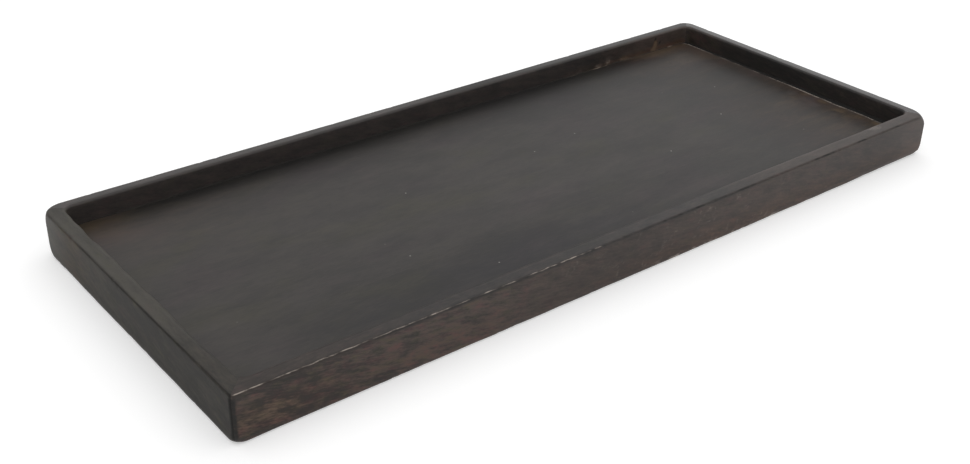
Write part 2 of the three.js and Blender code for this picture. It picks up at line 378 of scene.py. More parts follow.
# Colours of the wood, and its grain
LONG_STAIN = Stain(
    dark=(0.0190, 0.0142, 0.0120, 1),
    light=(0.0700, 0.0520, 0.0446, 1),
    thin=(0.1280, 0.0850, 0.0540, 1),
    slate_tint=(0.80, 0.98, 1.14, 1),
    olive_tint=(0.93, 1.04, 0.84, 1),
    rose_tint=(1.18, 0.925, 1.00, 1),
)
END_STAIN = Stain(
    dark=(0.0116, 0.0099, 0.0076, 1),
    light=(0.0509, 0.0455, 0.0366, 1),
    thin=(0.0800, 0.0560, 0.0350, 1),
    slate_tint=(0.92, 1.03, 1.25, 1),
    olive_tint=(1.02, 1.06, 0.80, 1),
    rose_tint=(1.14, 0.95, 0.98, 1),
)
PANEL_STAIN = Stain(
    dark=(0.0128, 0.0106, 0.0097, 1),
    light=(0.0417, 0.0351, 0.0304, 1),
    thin=(0.0900, 0.0620, 0.0370, 1),
    slate_tint=(0.91, 0.93, 1.18, 1),
    olive_tint=(1.02, 1.05, 0.84, 1),
    rose_tint=(1.05, 0.955, 1.05, 1),
)
RAIL_GRAIN = Grain(
    patch=(75, 190, 190),
    streak=(125, 700, 700),
    fleck=(420, 1500, 1500),
    hue=(120, 260, 260),
    weights=(2.6, 2.6, 1.8, 1.2),
    slant=-0.2,
)
PANEL_GRAIN = Grain(
    patch=(30, 70, 70),
    streak=(80, 330, 330),
    fleck=(260, 1000, 1000),
    hue=(20, 34, 34),
    weights=(2.6, 2.0, 1.6, 2.0),
    slant=0.0,
)
GRAIN_SHIFT = (1.0, 0.7, 0.3)
RAIL_STAINS = (LONG_STAIN, LONG_STAIN, LONG_STAIN, END_STAIN)
RAIL_FINISHES = (
    Finish(shift=1.0, specular=0.32, roughness=0.46),
    Finish(shift=2.0, specular=0.5, roughness=0.46),
    Finish(shift=4.0, specular=0.42, roughness=0.46),
    Finish(shift=5.0, specular=0.3, roughness=0.5),
)
PANEL_FINISH = Finish(shift=3.0, specular=0.4, roughness=0.5)

# How the looks of a point turn into its colour, its gloss and its relief
LOOKS = ("bare", "warm", "rose", "dark", "polish", "tone", "figure")
MIDDLE_TONE = 0.5
TONE_RANGE = (-0.3, 1.3)
TINT_RANGE = 0.2
WARM_GRAIN = 0.25
WARM_TINT = (1.18, 0.955, 0.81, 1)
WARM_RANGE = (0.2, 0.9)
THIN_RANGE = (0.7, 1.4)
SLATE_RANGE = (-0.1, -0.6)
COVER_RANGE = (0.0, 0.9)
# The deepest stain, also laid on as painted shade wherever the looks call a point dark
DEEP_STAIN_AND_SHADE = (0.0080, 0.0070, 0.0062, 1)
DEEP_STREAKS = 2.0
BARE_WOOD = (0.35, 0.30, 0.26, 1)
BARE_FLECKS = 3.0
POLISH_ROUGHNESS = -0.16
DARK_ROUGHNESS = 0.15
STREAK_ROUGHNESS = 0.15
RELIEF_STRENGTH = 0.15
RELIEF_DEPTH = 0.3 * MM
NOISE_ROUGHNESS = 0.55

# Dust specks on the serving face, none towards the back
SPECK = (0.34, 0.33, 0.30, 1)
SPECK_SPACING = 30 * MM
SPECK_RADIUS = 0.55 * MM
SPECK_CORE = 0.4
SPECK_CHOICE = (0.6, 0.95)
SPECK_DEPTH = (60 * MM, 0.0)

# Drawn steel of the pins
STEEL_DARK = (0.30, 0.30, 0.31, 1)
STEEL_LIGHT = (0.42, 0.42, 0.43, 1)
STEEL_ROUGHNESS = (0.3, 0.45)
STEEL_MARKS = (400, 6000, 6000)
STEEL_COLOUR_RANGE = (-0.3, 0.3)
STEEL_GLOSS_RANGE = (-0.2, 0.2)

# Floor and light
WHITE = (1, 1, 1, 1)
FLOOR_HALF = 4.0
FLOOR_GAP = 0.01 * MM
FLOOR_COLOUR = (0.8, 0.8, 0.8, 1)
FLOOR_LIFT = 0.36
WORLD_LOW = 0.4
WORLD_HIGH = 1.02
WORLD_RISE = 0.6
WORLD_LEFT = 0.87
WORLD_RIGHT = 1.06
WORLD_REACH = 0.7
KEY_DIRECTION = (0.75, 0.6, 0.28)
KEY_DISTANCE = 1.5
KEY_SIZE = 0.8
KEY_POWER = 0.4


class Level(NamedTuple):
    """One line round the tray: its zone of the section, height, insets by side and corner radii."""

    zone: str
    z: float
    insets: tuple
    radii: tuple


def lerp(start, end, share):
    """The value at a share of the way from start to end."""
    return start + (end - start) * share


def shares(count):
    """Even shares from 0 to 1, in so many steps."""
    return [step / count for step in range(count + 1)]


def smooth_step(low, high, value):
    """0 up to low and 1 from high on, with a soft change between them."""
    t = np.clip((value - low) / (high - low), 0, 1)
    return t * t * (3 - 2 * t)


def spot(distance, radius):
    """A soft round patch: 1 in its middle, and nearly nothing past twice its radius."""
    return np.exp(-((distance / radius) ** 2))


def total(changes, *place):
    """What several changes of the looks come to at each place."""
    return sum(change.at(*place) for change in changes)


def quarter_round(radius):
    """Pairs on a quarter round: the way in from the wall, and the way from the face it runs into."""
    angles = [share * math.pi / 2 for share in shares(ARRIS_STEPS)]
    return [(radius * (1 - math.sin(a)), radius * (1 - math.cos(a))) for a in angles]


def corner_radius(corner, z):
    """The radius of an outer corner at a height, which grows towards the rim and the foot."""
    near_rim = max(0, 1 - (HEIGHT - z) / SOFTENING_HEIGHT)
    near_foot = max(0, 1 - z / SOFTENING_HEIGHT)
    growth = RIM_SOFTENING[corner] * near_rim**2 + FOOT_SOFTENING[corner] * near_foot**2
    return CORNER_RADIUS[corner] + growth


def outer_level(zone, inset, z):
    """A level on the outer wall, the same way in from all four outer faces."""
    return Level(zone, z, (inset,) * 4, tuple(corner_radius(corner, z) for corner in range(4)))


def well_level(zone, outward, z):
    """A level on the wall of the well, or some way out from it into the rails, with parallel corners."""
    insets = tuple(thickness - outward for thickness in THICKNESS)
    return Level(zone, z, insets, (WELL_CORNER_RADIUS + outward,) * 4)


def rows_between(zone, start, end):
    """Levels strictly between two others, on a flat face."""
    rows = []
    for share in shares(FLAT_ROWS)[1:-1]:
        insets = tuple(lerp(a, b, share) for a, b in zip(start.insets, end.insets))
        radii = tuple(lerp(a, b, share) for a, b in zip(start.radii, end.radii))
        rows.append(Level(zone, lerp(start.z, end.z, share), insets, radii))
    return rows


def rail_levels():
    """The rail's section, from the foot up the outer wall, over the rim and down past the groove."""
    foot = [outer_level("foot", inset, rise) for inset, rise in quarter_round(BOTTOM_OUTER_ROUND)]
    arris_round = reversed(quarter_round(TOP_OUTER_ROUND))
    arris = [outer_level("arris", inset, HEIGHT - drop) for inset, drop in arris_round]
    heights = [lerp(foot[-1].z, arris[0].z, share) for share in shares(WALL_ROWS)[1:-1]]
    wall = [outer_level("wall", 0, z) for z in heights]
    lip = [well_level("lip", outward, HEIGHT - drop) for outward, drop in quarter_round(TOP_INNER_ROUND)]
    groove = [
        well_level("groove", 0, GROOVE_TOP),
        well_level("groove", GROOVE_DEPTH, GROOVE_TOP),
        well_level("groove", GROOVE_DEPTH, TONGUE_BOTTOM),
        well_level("groove", 0, TONGUE_BOTTOM),
    ]
    heel_round = reversed(quarter_round(BOTTOM_INNER_ROUND))
    heel = [well_level("heel", outward, rise) for outward, rise in heel_round]
    return [
        *foot,
        *wall,
        *arris,
        *rows_between("rim", arris[-1], lip[0]),
        *lip,
        *rows_between("well", lip[-1], groove[0]),
        *groove,
        *heel,
        *rows_between("base", heel[-1], foot[0]),
    ]


def stations(side):
    """For each station along a side: its share of the straight run, and the angle round a corner."""
    run = WIDTH if side % 2 else LENGTH
    steps = round(run / STATION_SPACING)
    turn = np.linspace(0, math.pi / 4, CORNER_STEPS + 1)
    ahead = 1.5 * math.pi
    share = np.concatenate([np.zeros(CORNER_STEPS), np.linspace(0, 1, steps + 1), np.ones(CORNER_STEPS)])
    angle = np.concatenate([ahead - turn[:0:-1], np.full(steps + 1, ahead), ahead + turn[1:]])
    return share, angle


def turned(side, along, out):
    """Places given along a side and out of its middle, turned to where that side lies."""
    c, s = [(1, 0), (0, 1), (-1, 0), (0, -1)][side]
    return c * along - s * out, s * along + c * out


def side_points(side, levels, shift=0.0, lift=0.0, gap=0.0):
    """Points along one side, from the middle of one corner to the middle of the next: levels by stations.

    Shift moves them further in, lift moves them up, and gap draws both ends back along the side."""
    share, angle = stations(side)
    before, after = (side - 1) % 4, (side + 1) % 4
    insets = np.array([level.insets for level in levels]).T[..., None] + shift
    radii = np.array([level.radii for level in levels]).T[..., None]
    half_along, half_out = (WIDTH / 2, LENGTH / 2) if side % 2 else (LENGTH / 2, WIDTH / 2)
    start = insets[before] + radii[side] - half_along
    end = half_along - insets[after] - radii[after]
    radius = lerp(radii[side], radii[after], share)
    along = lerp(start, end, share) + radius * np.cos(angle)
    out = insets[side] + radius - half_out + radius * np.sin(angle)
    along[:, 0] += gap
    along[:, -1] -= gap
    x, y = turned(side, along, out)
    z = np.array([level.z for level in levels])[:, None] + lift + 0 * along
    return np.stack([x, y, z], axis=-1)


def noise_field(points, wavelength, seed):
    """Smooth noise from -1 to 1 at each point."""
    offset = Vector([seed * step for step in NOISE_STEP])
    flat = [noise.noise(Vector(p) / wavelength + offset) for p in points.reshape(-1, 3)]
    return np.array(flat).reshape(points.shape[:-1])


def line_noise(places, wavelength, seed):
    """Smooth noise from -1 to 1 along a line."""
    points = np.stack([places, 0 * places, 0 * places], axis=-1)
    return noise_field(points, wavelength, seed)


def inward(side, levels):
    """The direction into the wood at each level, as steps of inset and height."""
    inset = np.array([level.insets[side] for level in levels])
    z = np.array([level.z for level in levels])
    step_inset = np.roll(inset, -1) - np.roll(inset, 1)
    step_z = np.roll(z, -1) - np.roll(z, 1)
    length = np.hypot(step_inset, step_z)
    return (step_z / length)[:, None], (-step_inset / length)[:, None]


def arris_dents(side):
    """Small knocks along a rail's outer arrises: where, how wide and how deep."""
    rng = random.Random(DENT_SEED + side)
    run, half_out = (WIDTH, LENGTH / 2) if side % 2 else (LENGTH, WIDTH / 2)
    dents = []
    for z in DENT_HEIGHTS:
        for _ in range(round(run / DENT_SPACING)):
            x, y = turned(side, rng.uniform(-DENT_REACH, DENT_REACH) * run, DENT_INSET - half_out)
            dents.append((np.array([x, y, z]), rng.uniform(*DENT_WIDTH), rng.uniform(*DENT_DEPTH)))
    return dents


def wear_depth(points, zone, side):
    """How far hand wear has taken each point of a rail into the wood."""
    x, y, z = np.moveaxis(points, -1, 0)
    amount = np.array([WEAR.get(name, 0.0) for name in zone[:, 0]])[:, None]
    short = noise_field(points, EDGE_WAVELENGTH, seed=1)
    long = noise_field(points, FACE_WAVELENGTH, seed=2)
    at_edge = np.isin(zone, EDGE_ZONES)
    if side == LEFT:
        share = np.where(zone == "lip", 1, LEFT_LIP_DEPTH.at(z) * (zone == "well"))
        amount = np.maximum(amount, LEFT_LIP_WEAR.at(abs(y)) * share)
        short = np.where(np.isin(zone, ("lip", "well")), np.clip(2 * short, -1, 1), short)
        at_edge = at_edge | (zone == "well")
    depth = amount * (0.5 + 0.5 * np.where(at_edge, short, long))
    for centre, width, knock in arris_dents(side):
        depth = depth + knock * spot(np.linalg.norm(points - centre, axis=-1), width) * (amount > 0)
    if side == FRONT:
        depth = depth + np.where(zone == "foot", FOOT_LIFT.at(x), 0)
    return depth


def add_object(name, data):
    """A new object in the scene."""
    made = bpy.data.objects.new(name, data)
    bpy.context.scene.collection.objects.link(made)
    return made


def make_piece(name, points, faces, material, attributes):
    """A piece of the tray with smooth faces, sharp creases and point attributes for its material."""
    mesh = bpy.data.meshes.new(name)
    mesh.from_pydata(np.reshape(points, (-1, 3)).tolist(), [], faces)
    for key, values in attributes.items():
        mesh.attributes.new(key, "FLOAT", "POINT").data.foreach_set("value", np.ravel(values))
    outward = bmesh.new()
    outward.from_mesh(mesh)
    bmesh.ops.recalc_face_normals(outward, faces=outward.faces)
    outward.to_mesh(mesh)
    outward.free()
    mesh.polygons.foreach_set("use_smooth", [True] * len(mesh.polygons))
    mesh.set_sharp_from_angle(angle=SHARP_ANGLE)
    mesh.materials.append(material)
    piece = add_object(name, mesh)
    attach(piece, "root")
    return piece


def skin(count_levels, count_stations, ring):
    """Quads over closed levels by stations, with the stations closed to a ring or capped at both ends."""
    faces = []
    for i in range(count_levels):
        row = i * count_stations
        next_row = (i + 1) % count_levels * count_stations
        for j in range(count_stations if ring else count_stations - 1):
            k = (j + 1) % count_stations
            faces.append((row + j, row + k, next_row + k, next_row + j))
    if not ring:
        faces.append(tuple(i * count_stations for i in range(count_levels)))
        faces.append(tuple((i + 1) * count_stations - 1 for i in range(count_levels)))
    return faces


def row_in(zone, name):
    """Which row of one zone each level is, counted from 1 along the section, and 0 elsewhere."""
    return np.cumsum(zone == name, axis=0) * (zone == name)


def on_top(zone):
    """Whether a level is on the rim or on the part of the lip that looks up."""
    row = row_in(zone, "lip")
    return (zone == "rim") | ((row > 0) & (row <= LIP_TOP_ROWS))


def in_well(zone):
    """Whether a level is on the wall of the well or on the part of the lip that looks into it."""
    return (zone == "well") | (row_in(zone, "lip") > LIP_TOP_ROWS)


def pale_line(along, zone):
    """Bare wood along the left of the front arris, broken and wandering."""
    broken = 0.9 * line_noise(along, 7 * MM, seed=3) + 0.8 * line_noise(along, 2.6 * MM, seed=4)
    bare = np.clip(0.6 + total(PALE_LINE, along) + 0.7 * broken, 0, 1) * PALE_LINE_START.at(along)
    row = row_in(zone, "arris")
    middle = PALE_LINE_ROW + 1.2 * line_noise(along, 5 * MM, seed=10)
    return bare * spot(row - middle, PALE_LINE_SPREAD) * (row > 0)


def dark_line(along, zone):
    """A dark line of painted shade along the right of the front arris, broken up by noise."""
    breaks = 0.9 * line_noise(along, 9 * MM, seed=5) + 0.7 * line_noise(along, 3 * MM, seed=14)
    dark = DARK_LINE_START.at(along) * np.clip(0.15 + breaks, 0, 0.75)
    return np.where(np.isin(row_in(zone, "arris"), DARK_LINE_ROWS), dark, 0)


def lip_spot(x, y, zone):
    """A pale spot on the front lip, with its small pale tip."""
    from_middle = np.hypot((x - LIP_SPOT_PLACE[0]) / LIP_SPOT_SIZE[0], (y - LIP_SPOT_PLACE[1]) / LIP_SPOT_SIZE[1])
    return (LIP_SPOT_EDGE.at(from_middle) + LIP_SPOT_TIP.at(x, y)) * np.isin(zone, ("lip", "rim"))


def scuffs(along, z, zone):
    """Bare wood along the foot of the front rail, right of its middle."""
    rough = line_noise(along, 7 * MM, seed=11) + 0.6 * line_noise(along, 2 * MM, seed=12)
    return SCUFFS.at(along) * SCUFF_EDGE.at(rough) * SCUFF_HEIGHT.at(z) * np.isin(zone, OUTER_FACE)


def curls(points, zone):
    """Thin pale curls in clusters on the middle of the front wall."""
    lines = CURL_EDGE.at(np.abs(noise_field(points, 6 * MM, seed=17)))
    clusters = CURL_CLUSTERS.at(noise_field(points, 14 * MM, seed=18))
    return CURLS.at(points[..., 0]) * lines * clusters * (zone == "wall")


def front_looks(points, zone):
    """The front rail: red-brown stain, a line along its arris, a pale spot, scuffs and curls."""
    x, y, z = np.moveaxis(points, -1, 0)
    along = x[0]
    wall = np.isin(zone, OUTER_FACE)
    lip = zone == "lip"
    lip_sheen = FRONT_LIP_SHEEN.at(x)
    wall_warm = 0.4 + FRONT_LEFT.at(x) * (0.12 - 0.15 * FRONT_UPPER.at(z))
    wall_warm = wall_warm + 0.5 * FRONT_LEFT_END.at(x) * FRONT_BAND.at(z)
    wall_warm = wall_warm + 0.35 * FRONT_RIGHT.at(x) * FRONT_LOWER.at(z)
    # Painted sheen: the rim and lip lighter towards the right
    rim_tone = -0.2 + total(FRONT_RIM_TONE, x) + np.where(lip, lerp(-0.05, 0.3, lip_sheen), 0)
    rim_polish = -0.2 + FRONT_RIM_POLISH.at(x) - np.where(lip, 0.6 * (1 - lip_sheen), 0)
    bare = (pale_line(along, zone), scuffs(along, z, zone), lip_spot(x, y, zone), curls(points, zone))
    return {
        "bare": np.max(bare, axis=0),
        "warm": np.where(wall, wall_warm, -0.4 + total(FRONT_RIM_WARM, x)),
        # The dark line along the arris is painted shade
        "dark": dark_line(along, zone),
        "polish": np.where(wall, FRONT_POLISH.at(x), rim_polish),
        "tone": np.where(wall, 0.05 + total(FRONT_TONE, x), rim_tone),
        "figure": np.where(wall, 1.1 + total(FRONT_FIGURE, x), 0.4),
    }


def right_looks(points, zone):
    """The right rail: a polished rim, painted lighter as sheen, over an inner wall darkened by painted
    shade.
    """
    y = points[..., 1]
    rim = on_top(zone) | (zone == "arris")
    return {
        "warm": np.where(rim, -0.7, 0.35),
        # Painted shade on the inner wall
        "dark": np.where(in_well(zone), 0.6 + total(RIGHT_WALL_SHADE, y), 0),
        "polish": np.where(rim, 1.15, 0.0),
        # Painted sheen on the rim
        "tone": np.where(rim, 0.3 + RIGHT_RIM_SHEEN.at(y), 0),
        "figure": np.where(rim, 0.4, 1.0),
    }


def back_looks(points, zone):
    """The back rail: its inner wall brown and rubbed at the right end, with a yellow mark and dark dots."""
    x, z = points[..., 0], points[..., 2]
    along = x[0]
    top = on_top(zone)
    well = in_well(zone)
    brown = BACK_BROWN.at(x)
    foot = BACK_FOOT.at(x) * BACK_FOOT_HEIGHT.at(z)
    rubbed = RUBBED_FOOT_EDGE.at(line_noise(along, 6 * MM, seed=13))
    rubbed = rubbed * RUBBED_FOOT.at(along) * RUBBED_FOOT_HEIGHT.at(z)
    patch = RUBBED_PATCH_EDGE.at(line_noise(along, 2.5 * MM, seed=16)) * RUBBED_PATCH.at(x, z)
    mark = total(YELLOW_MARK, x, z)
    well_warm = -0.35 + 0.55 * brown + 0.65 * foot + 0.6 * rubbed + 0.5 * patch + 1.8 * mark
    # Painted shade on the inner wall away from its brown end, with the real dark dots
    well_dark = np.minimum(1, 0.2 * (1 - brown) + 1.5 * total(DARK_DOTS, x, z))
    well_tone = 0.3 * brown * (1 + 0.3 * foot) + BACK_SHADE.at(x)
    return {
        "bare": np.where(well, 0.22 * rubbed + 0.26 * patch + 0.12 * mark, 0),
        "warm": np.where(well, well_warm, np.where(top, -0.4, 0.2)),
        "dark": np.where(well, well_dark, 0),
        "polish": np.where(top, 0.45 + BACK_RIM_POLISH.at(x), 0),
        "tone": np.where(well, well_tone, total(BACK_RIM_TONE, x) * top),
        "figure": np.where(well | top, 0.4, 1.0),
    }


def left_looks(points, zone):
    """The left rail: painted shade along its top arris, fading at the back, with a painted highlight, and a
    dull outer wall.
    """
    x, y = points[..., 0], points[..., 1]
    along = y[0]
    arris = zone == "arris"
    way_in = x + LENGTH / 2
    line_at = LEFT_LINE_INSET + LEFT_LINE_DRIFT.at(y)
    line = LEFT_LINE_EDGE.at(np.abs(way_in - line_at)) * arris
    strength = LEFT_LINE.at(along) * (0.5 + 0.4 * line_noise(along, 15 * MM, seed=6))
    outside = (zone == "wall") | (arris & (way_in < line_at))
    merging = LEFT_MERGING.at(y)
    painted_highlight = LEFT_HIGHLIGHT_LINE.at(x) * LEFT_HIGHLIGHT_START.at(y) * (zone == "rim")
    lip_tone = np.where(zone == "lip", -0.2 + LEFT_LIP_TONE.at(y), 0)
    rim_tone = 0.2 - 0.3 * merging + painted_highlight + LEFT_RIM_TONE.at(y) + lip_tone
    return {
        "warm": np.where(outside, 0.25 + LEFT_WARM.at(y), 0.15 + 0.25 * merging),
        # The dark line, painted shade
        "dark": line * strength,
        "polish": np.where(outside, -1.0 + LEFT_POLISH.at(y), 0.1),
        "tone": np.where(outside, -0.42 + LEFT_TONE.at(y), rim_tone),
        "figure": np.where(outside, 0.6, 0.4),
    }


def rail_attributes(points, zone, side):
    """Where a rail shows bare wood, other hues, dark lines, polish, lighter tones and a strong figure."""
    rail_looks = {FRONT: front_looks, RIGHT: right_looks, BACK: back_looks, LEFT: left_looks}
    looks = dict.fromkeys(LOOKS, 0)
    looks.update(rail_looks[side](points, zone))
    from_corner = np.hypot(points[..., 0] + LENGTH / 2, points[..., 1] + WIDTH / 2)
    from_corner = from_corner + NEAR_CORNER_WANDER * noise_field(points, 5 * MM, seed=9)
    near_corner = NEAR_CORNER.at(from_corner) * np.isin(zone, OUTER_FACE)
    looks["dark"] = np.maximum(looks["dark"], near_corner)
    return {name: np.broadcast_to(value, near_corner.shape) for name, value in looks.items()}


def make_rail(side, material):
    """One rail with mitred ends, its arrises rounded over by wear."""
    levels = rail_levels()
    zone = np.array([level.zone for level in levels])[:, None]
    depth = wear_depth(side_points(side, levels), zone, side)
    step_inset, step_z = inward(side, levels)
    points = side_points(side, levels, step_inset * depth, step_z * depth, HAIRLINE)
    faces = skin(*points.shape[:2], ring=False)
    attributes = rail_attributes(points, zone, side)
    name = RAILS[side]
    rail = make_piece(name, points, faces, material, attributes)
    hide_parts(name)


def ring_points(levels):
    """Points all round the tray at each level, with no point twice."""
    return np.concatenate([side_points(side, levels)[:, :-1] for side in range(4)], axis=1)


def panel_solid():
    """The whole panel with its tongue, before it is cut into boards."""
    levels = [
        well_level("", -PANEL_CLEARANCE, UNDERSIDE),
        well_level("", -PANEL_CLEARANCE, TONGUE_BOTTOM),
        well_level("", TONGUE_LENGTH, TONGUE_BOTTOM),
        well_level("", TONGUE_LENGTH, TONGUE_TOP),
        well_level("", -PANEL_CLEARANCE, TONGUE_TOP),
        well_level("", -PANEL_CLEARANCE, SERVING_FACE),
    ]
    solid = bmesh.new()
    rings = [[solid.verts.new(p) for p in ring] for ring in ring_points(levels)]
    for lower, upper in zip(rings, rings[1:]):
        for j in range(len(lower)):
            k = (j + 1) % len(lower)
            solid.faces.new((lower[j], lower[k], upper[k], upper[j]))
    solid.faces.new(list(reversed(rings[0])))
    solid.faces.new(rings[-1])
    return solid


def cut(solid, place, normal, drop):
    """Cuts a mesh along a plane, and drops what is beyond it and closes the cut if asked."""
    geometry = [*solid.verts, *solid.edges, *solid.faces]
    made = bmesh.ops.bisect_plane(
        solid, geom=geometry, plane_co=place, plane_no=normal, clear_outer=drop, dist=CUT_TOLERANCE
    )
    if drop:
        edges = [e for e in made["geom_cut"] if isinstance(e, bmesh.types.BMEdge)]
        bmesh.ops.contextual_create(solid, geom=edges)


def panel_attributes(points):
    """Where the panel shows other hues, darker and lighter tones, painted shade and light, and less polish.
    """
    x, y = points[..., 0], points[..., 1]
    fringe = PANEL_FRINGE_LIGHT.at(x)
    right_end = PANEL_RIGHT_END.at(x)
    back_left = PANEL_LEFT.at(x) * PANEL_BACK.at(y)
    front_left_light = PANEL_LEFT_END.at(x) * PANEL_FRONT.at(y)
    left_corner = PANEL_LEFT_CORNER.at(x, y)
    brown_edge = PANEL_BACK_EDGE.at(y) * PANEL_BROWN_EDGE.at(x)
    slate = PANEL_SLATE.at(x, y)
    mottle = PANEL_MOTTLE.at(x) * PANEL_MOTTLE_DEPTH.at(y) * noise_field(points, 8 * MM, seed=15)
    under_wall = UNDER_WALL.at(x)
    streaks = sum(across.at(y) * along.at(x) for across, along in STREAKS)
    warm = 0.15 + 0.7 * right_end * (1 + PANEL_FADED.at(y)) + 0.3 * back_left + 0.4 * left_corner
    # In the tone, the darker right end and back right are painted shade, the lighter fringe and front left
    # painted light
    tone = 0.25 * back_left + 0.25 * front_left_light - 0.3 * right_end - 0.5 * slate + PANEL_TONE.at(x)
    tone = tone + 0.2 * left_corner + 0.3 * PANEL_RIGHT_CORNER.at(x, y) - 0.2 * PANEL_BACK_RIGHT_SHADE.at(x, y)
    tone = tone + fringe + 0.1 * brown_edge - 2.2 * mottle + 0.4 * streaks
    looks = {
        "bare": PANEL_BARE.at(x),
        "warm": warm + 0.25 * brown_edge - 0.6 * slate + mottle,
        "rose": total(PANEL_ROSE, x),
        # The dark here, and the back wall's share of the tone below, are its painted shadow
        "dark": UNDER_WALL_SHADOW.at(y) * under_wall,
        "polish": -0.25 * fringe - 0.3 * slate,
        "tone": tone + UNDER_WALL_SHADE.at(y) * under_wall,
        "figure": 0.5,
    }
    return {name: np.broadcast_to(value, x.shape) for name, value in looks.items()}


def make_board(name, material):
    """One board of the panel, cut out of the whole and laid out in cells."""
    low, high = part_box(name)
    solid = panel_solid()
    if name != BOARDS[0]:
        cut(solid, (0, low.y, 0), (0, -1, 0), drop=True)
    if name != BOARDS[-1]:
        cut(solid, (0, high.y, 0), (0, 1, 0), drop=True)
    for x in np.arange(low.x + BOARD_CELL, high.x, BOARD_CELL):
        cut(solid, (x, 0, 0), (1, 0, 0), drop=False)
    for y in np.arange(low.y + BOARD_CELL, high.y, BOARD_CELL):
        cut(solid, (0, y, 0), (0, 1, 0), drop=False)
    mesh = bpy.data.meshes.new(name)
    solid.to_mesh(mesh)
    solid.free()
    vertices = np.array([v.co for v in mesh.vertices])
    faces = [tuple(p.vertices) for p in mesh.polygons]
    looks = panel_attributes(vertices)
    board = make_piece(name, vertices, faces, material, looks)
    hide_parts(name)


def make_seam(front_board, back_board, material):
    """The glue that fills the joint between two boards, a hair below their faces."""
    low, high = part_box(front_board)
    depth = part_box(back_board)[0].y - high.y
    half_length = (high.x - low.x) / 2 - TONGUE_LENGTH - SEAM_SETBACK
    half = (half_length, depth / 2, (SERVING_FACE - UNDERSIDE) / 2 - HAIRLINE)
    middle = ((low.x + high.x) / 2, high.y + depth / 2, (SERVING_FACE + UNDERSIDE) / 2)
    signs = [(x, y, z) for x in (-1, 1) for y in (-1, 1) for z in (-1, 1)]
    corners = [[m + h * s for m, h, s in zip(middle, half, sign)] for sign in signs]
    faces = [(0, 1, 3, 2), (4, 6, 7, 5), (0, 4, 5, 1), (2, 3, 7, 6), (0, 2, 6, 4), (1, 5, 7, 3)]
    looks = panel_attributes(np.array(corners))
    make_piece(f"{front_board}_glue", corners, faces, material, looks)


def bead_points(foot):
    """The bead's points from the wall inwards and then below, spread unevenly from its foot."""
    levels = [
        well_level("", -HAIRLINE - BEAD_REACH * reach, SERVING_FACE + HAIRLINE + BEAD_RISE * rise)
        for reach, rise in BEAD_PROFILE
    ]
    levels.append(well_level("", -PANEL_CLEARANCE / 2, SERVING_FACE - BEAD_RISE))
    points = ring_points(levels)
    x, y, z = np.moveaxis(foot, -1, 0)
    right = BEAD_RIGHT.at(x)
    # The widening along the back is painted shade
    growth = BEAD_BACK.at(y) * BEAD_BACK_SHADE_GROWTH.at(x)
    growth = growth + right * (BEAD_RIGHT_GROWTH + BEAD_FRONT_GROWTH.at(y))
    uneven = noise_field(foot, BEAD_WAVELENGTH, seed=7) * (1 - 0.75 * right)
    spread = np.clip(0.7 + 0.6 * uneven, *BEAD_SPREAD)
    across = (spread * (1 + growth))[..., None]
    points[:-1, :, :2] = lerp(foot[..., :2], points[:-1, :, :2], across)
    points[:-1, :, 2] = lerp(z, points[:-1, :, 2], spread * (1 + BEAD_RISE_SHARE * growth))
    return points


def bead_looks(points, foot):
    """The bead: dark, partly painted shade along the back, with a thin pale edge on the right and brown at
    the right end of the back.
    """
    x, y = foot[..., 0], foot[..., 1]
    pale_row = np.isin(np.arange(len(points)), BEAD_PALE_ROWS)[:, None]
    pale_edge = BEAD_RIGHT.at(x) * pale_row
    back = BEAD_BACK.at(y)
    brown = back * BEAD_BROWN.at(x)
    broken = noise_field(foot, 7 * MM, seed=8)
    pale = np.clip(0.4 + total(BEAD_PALE, y) + 0.7 * broken, 0, 1)
    looks = panel_attributes(points)
    looks["bare"] = 0.8 * pale_edge * pale + 0.6 * brown * np.clip(broken, 0, 1)
    looks["warm"] = np.broadcast_to(0.3 + brown * (0.4 + 1.2 * broken), pale_edge.shape)
    looks["dark"] = (0.9 - 0.3 * back) * (1 - np.maximum(pale_edge, brown))
    looks["polish"] = np.full(pale_edge.shape, -1.5)
    return looks


def make_bead(material):
    """The uneven bead of stain and glue where the panel meets the rails, widened into painted shade along
    the back.
    """
    foot = ring_points([well_level("", -HAIRLINE, SERVING_FACE + HAIRLINE)])
    points = bead_points(foot)
    faces = skin(*points.shape[:2], ring=True)
    looks = bead_looks(points, foot)
    make_piece("panel_bead", points, faces, material, looks)


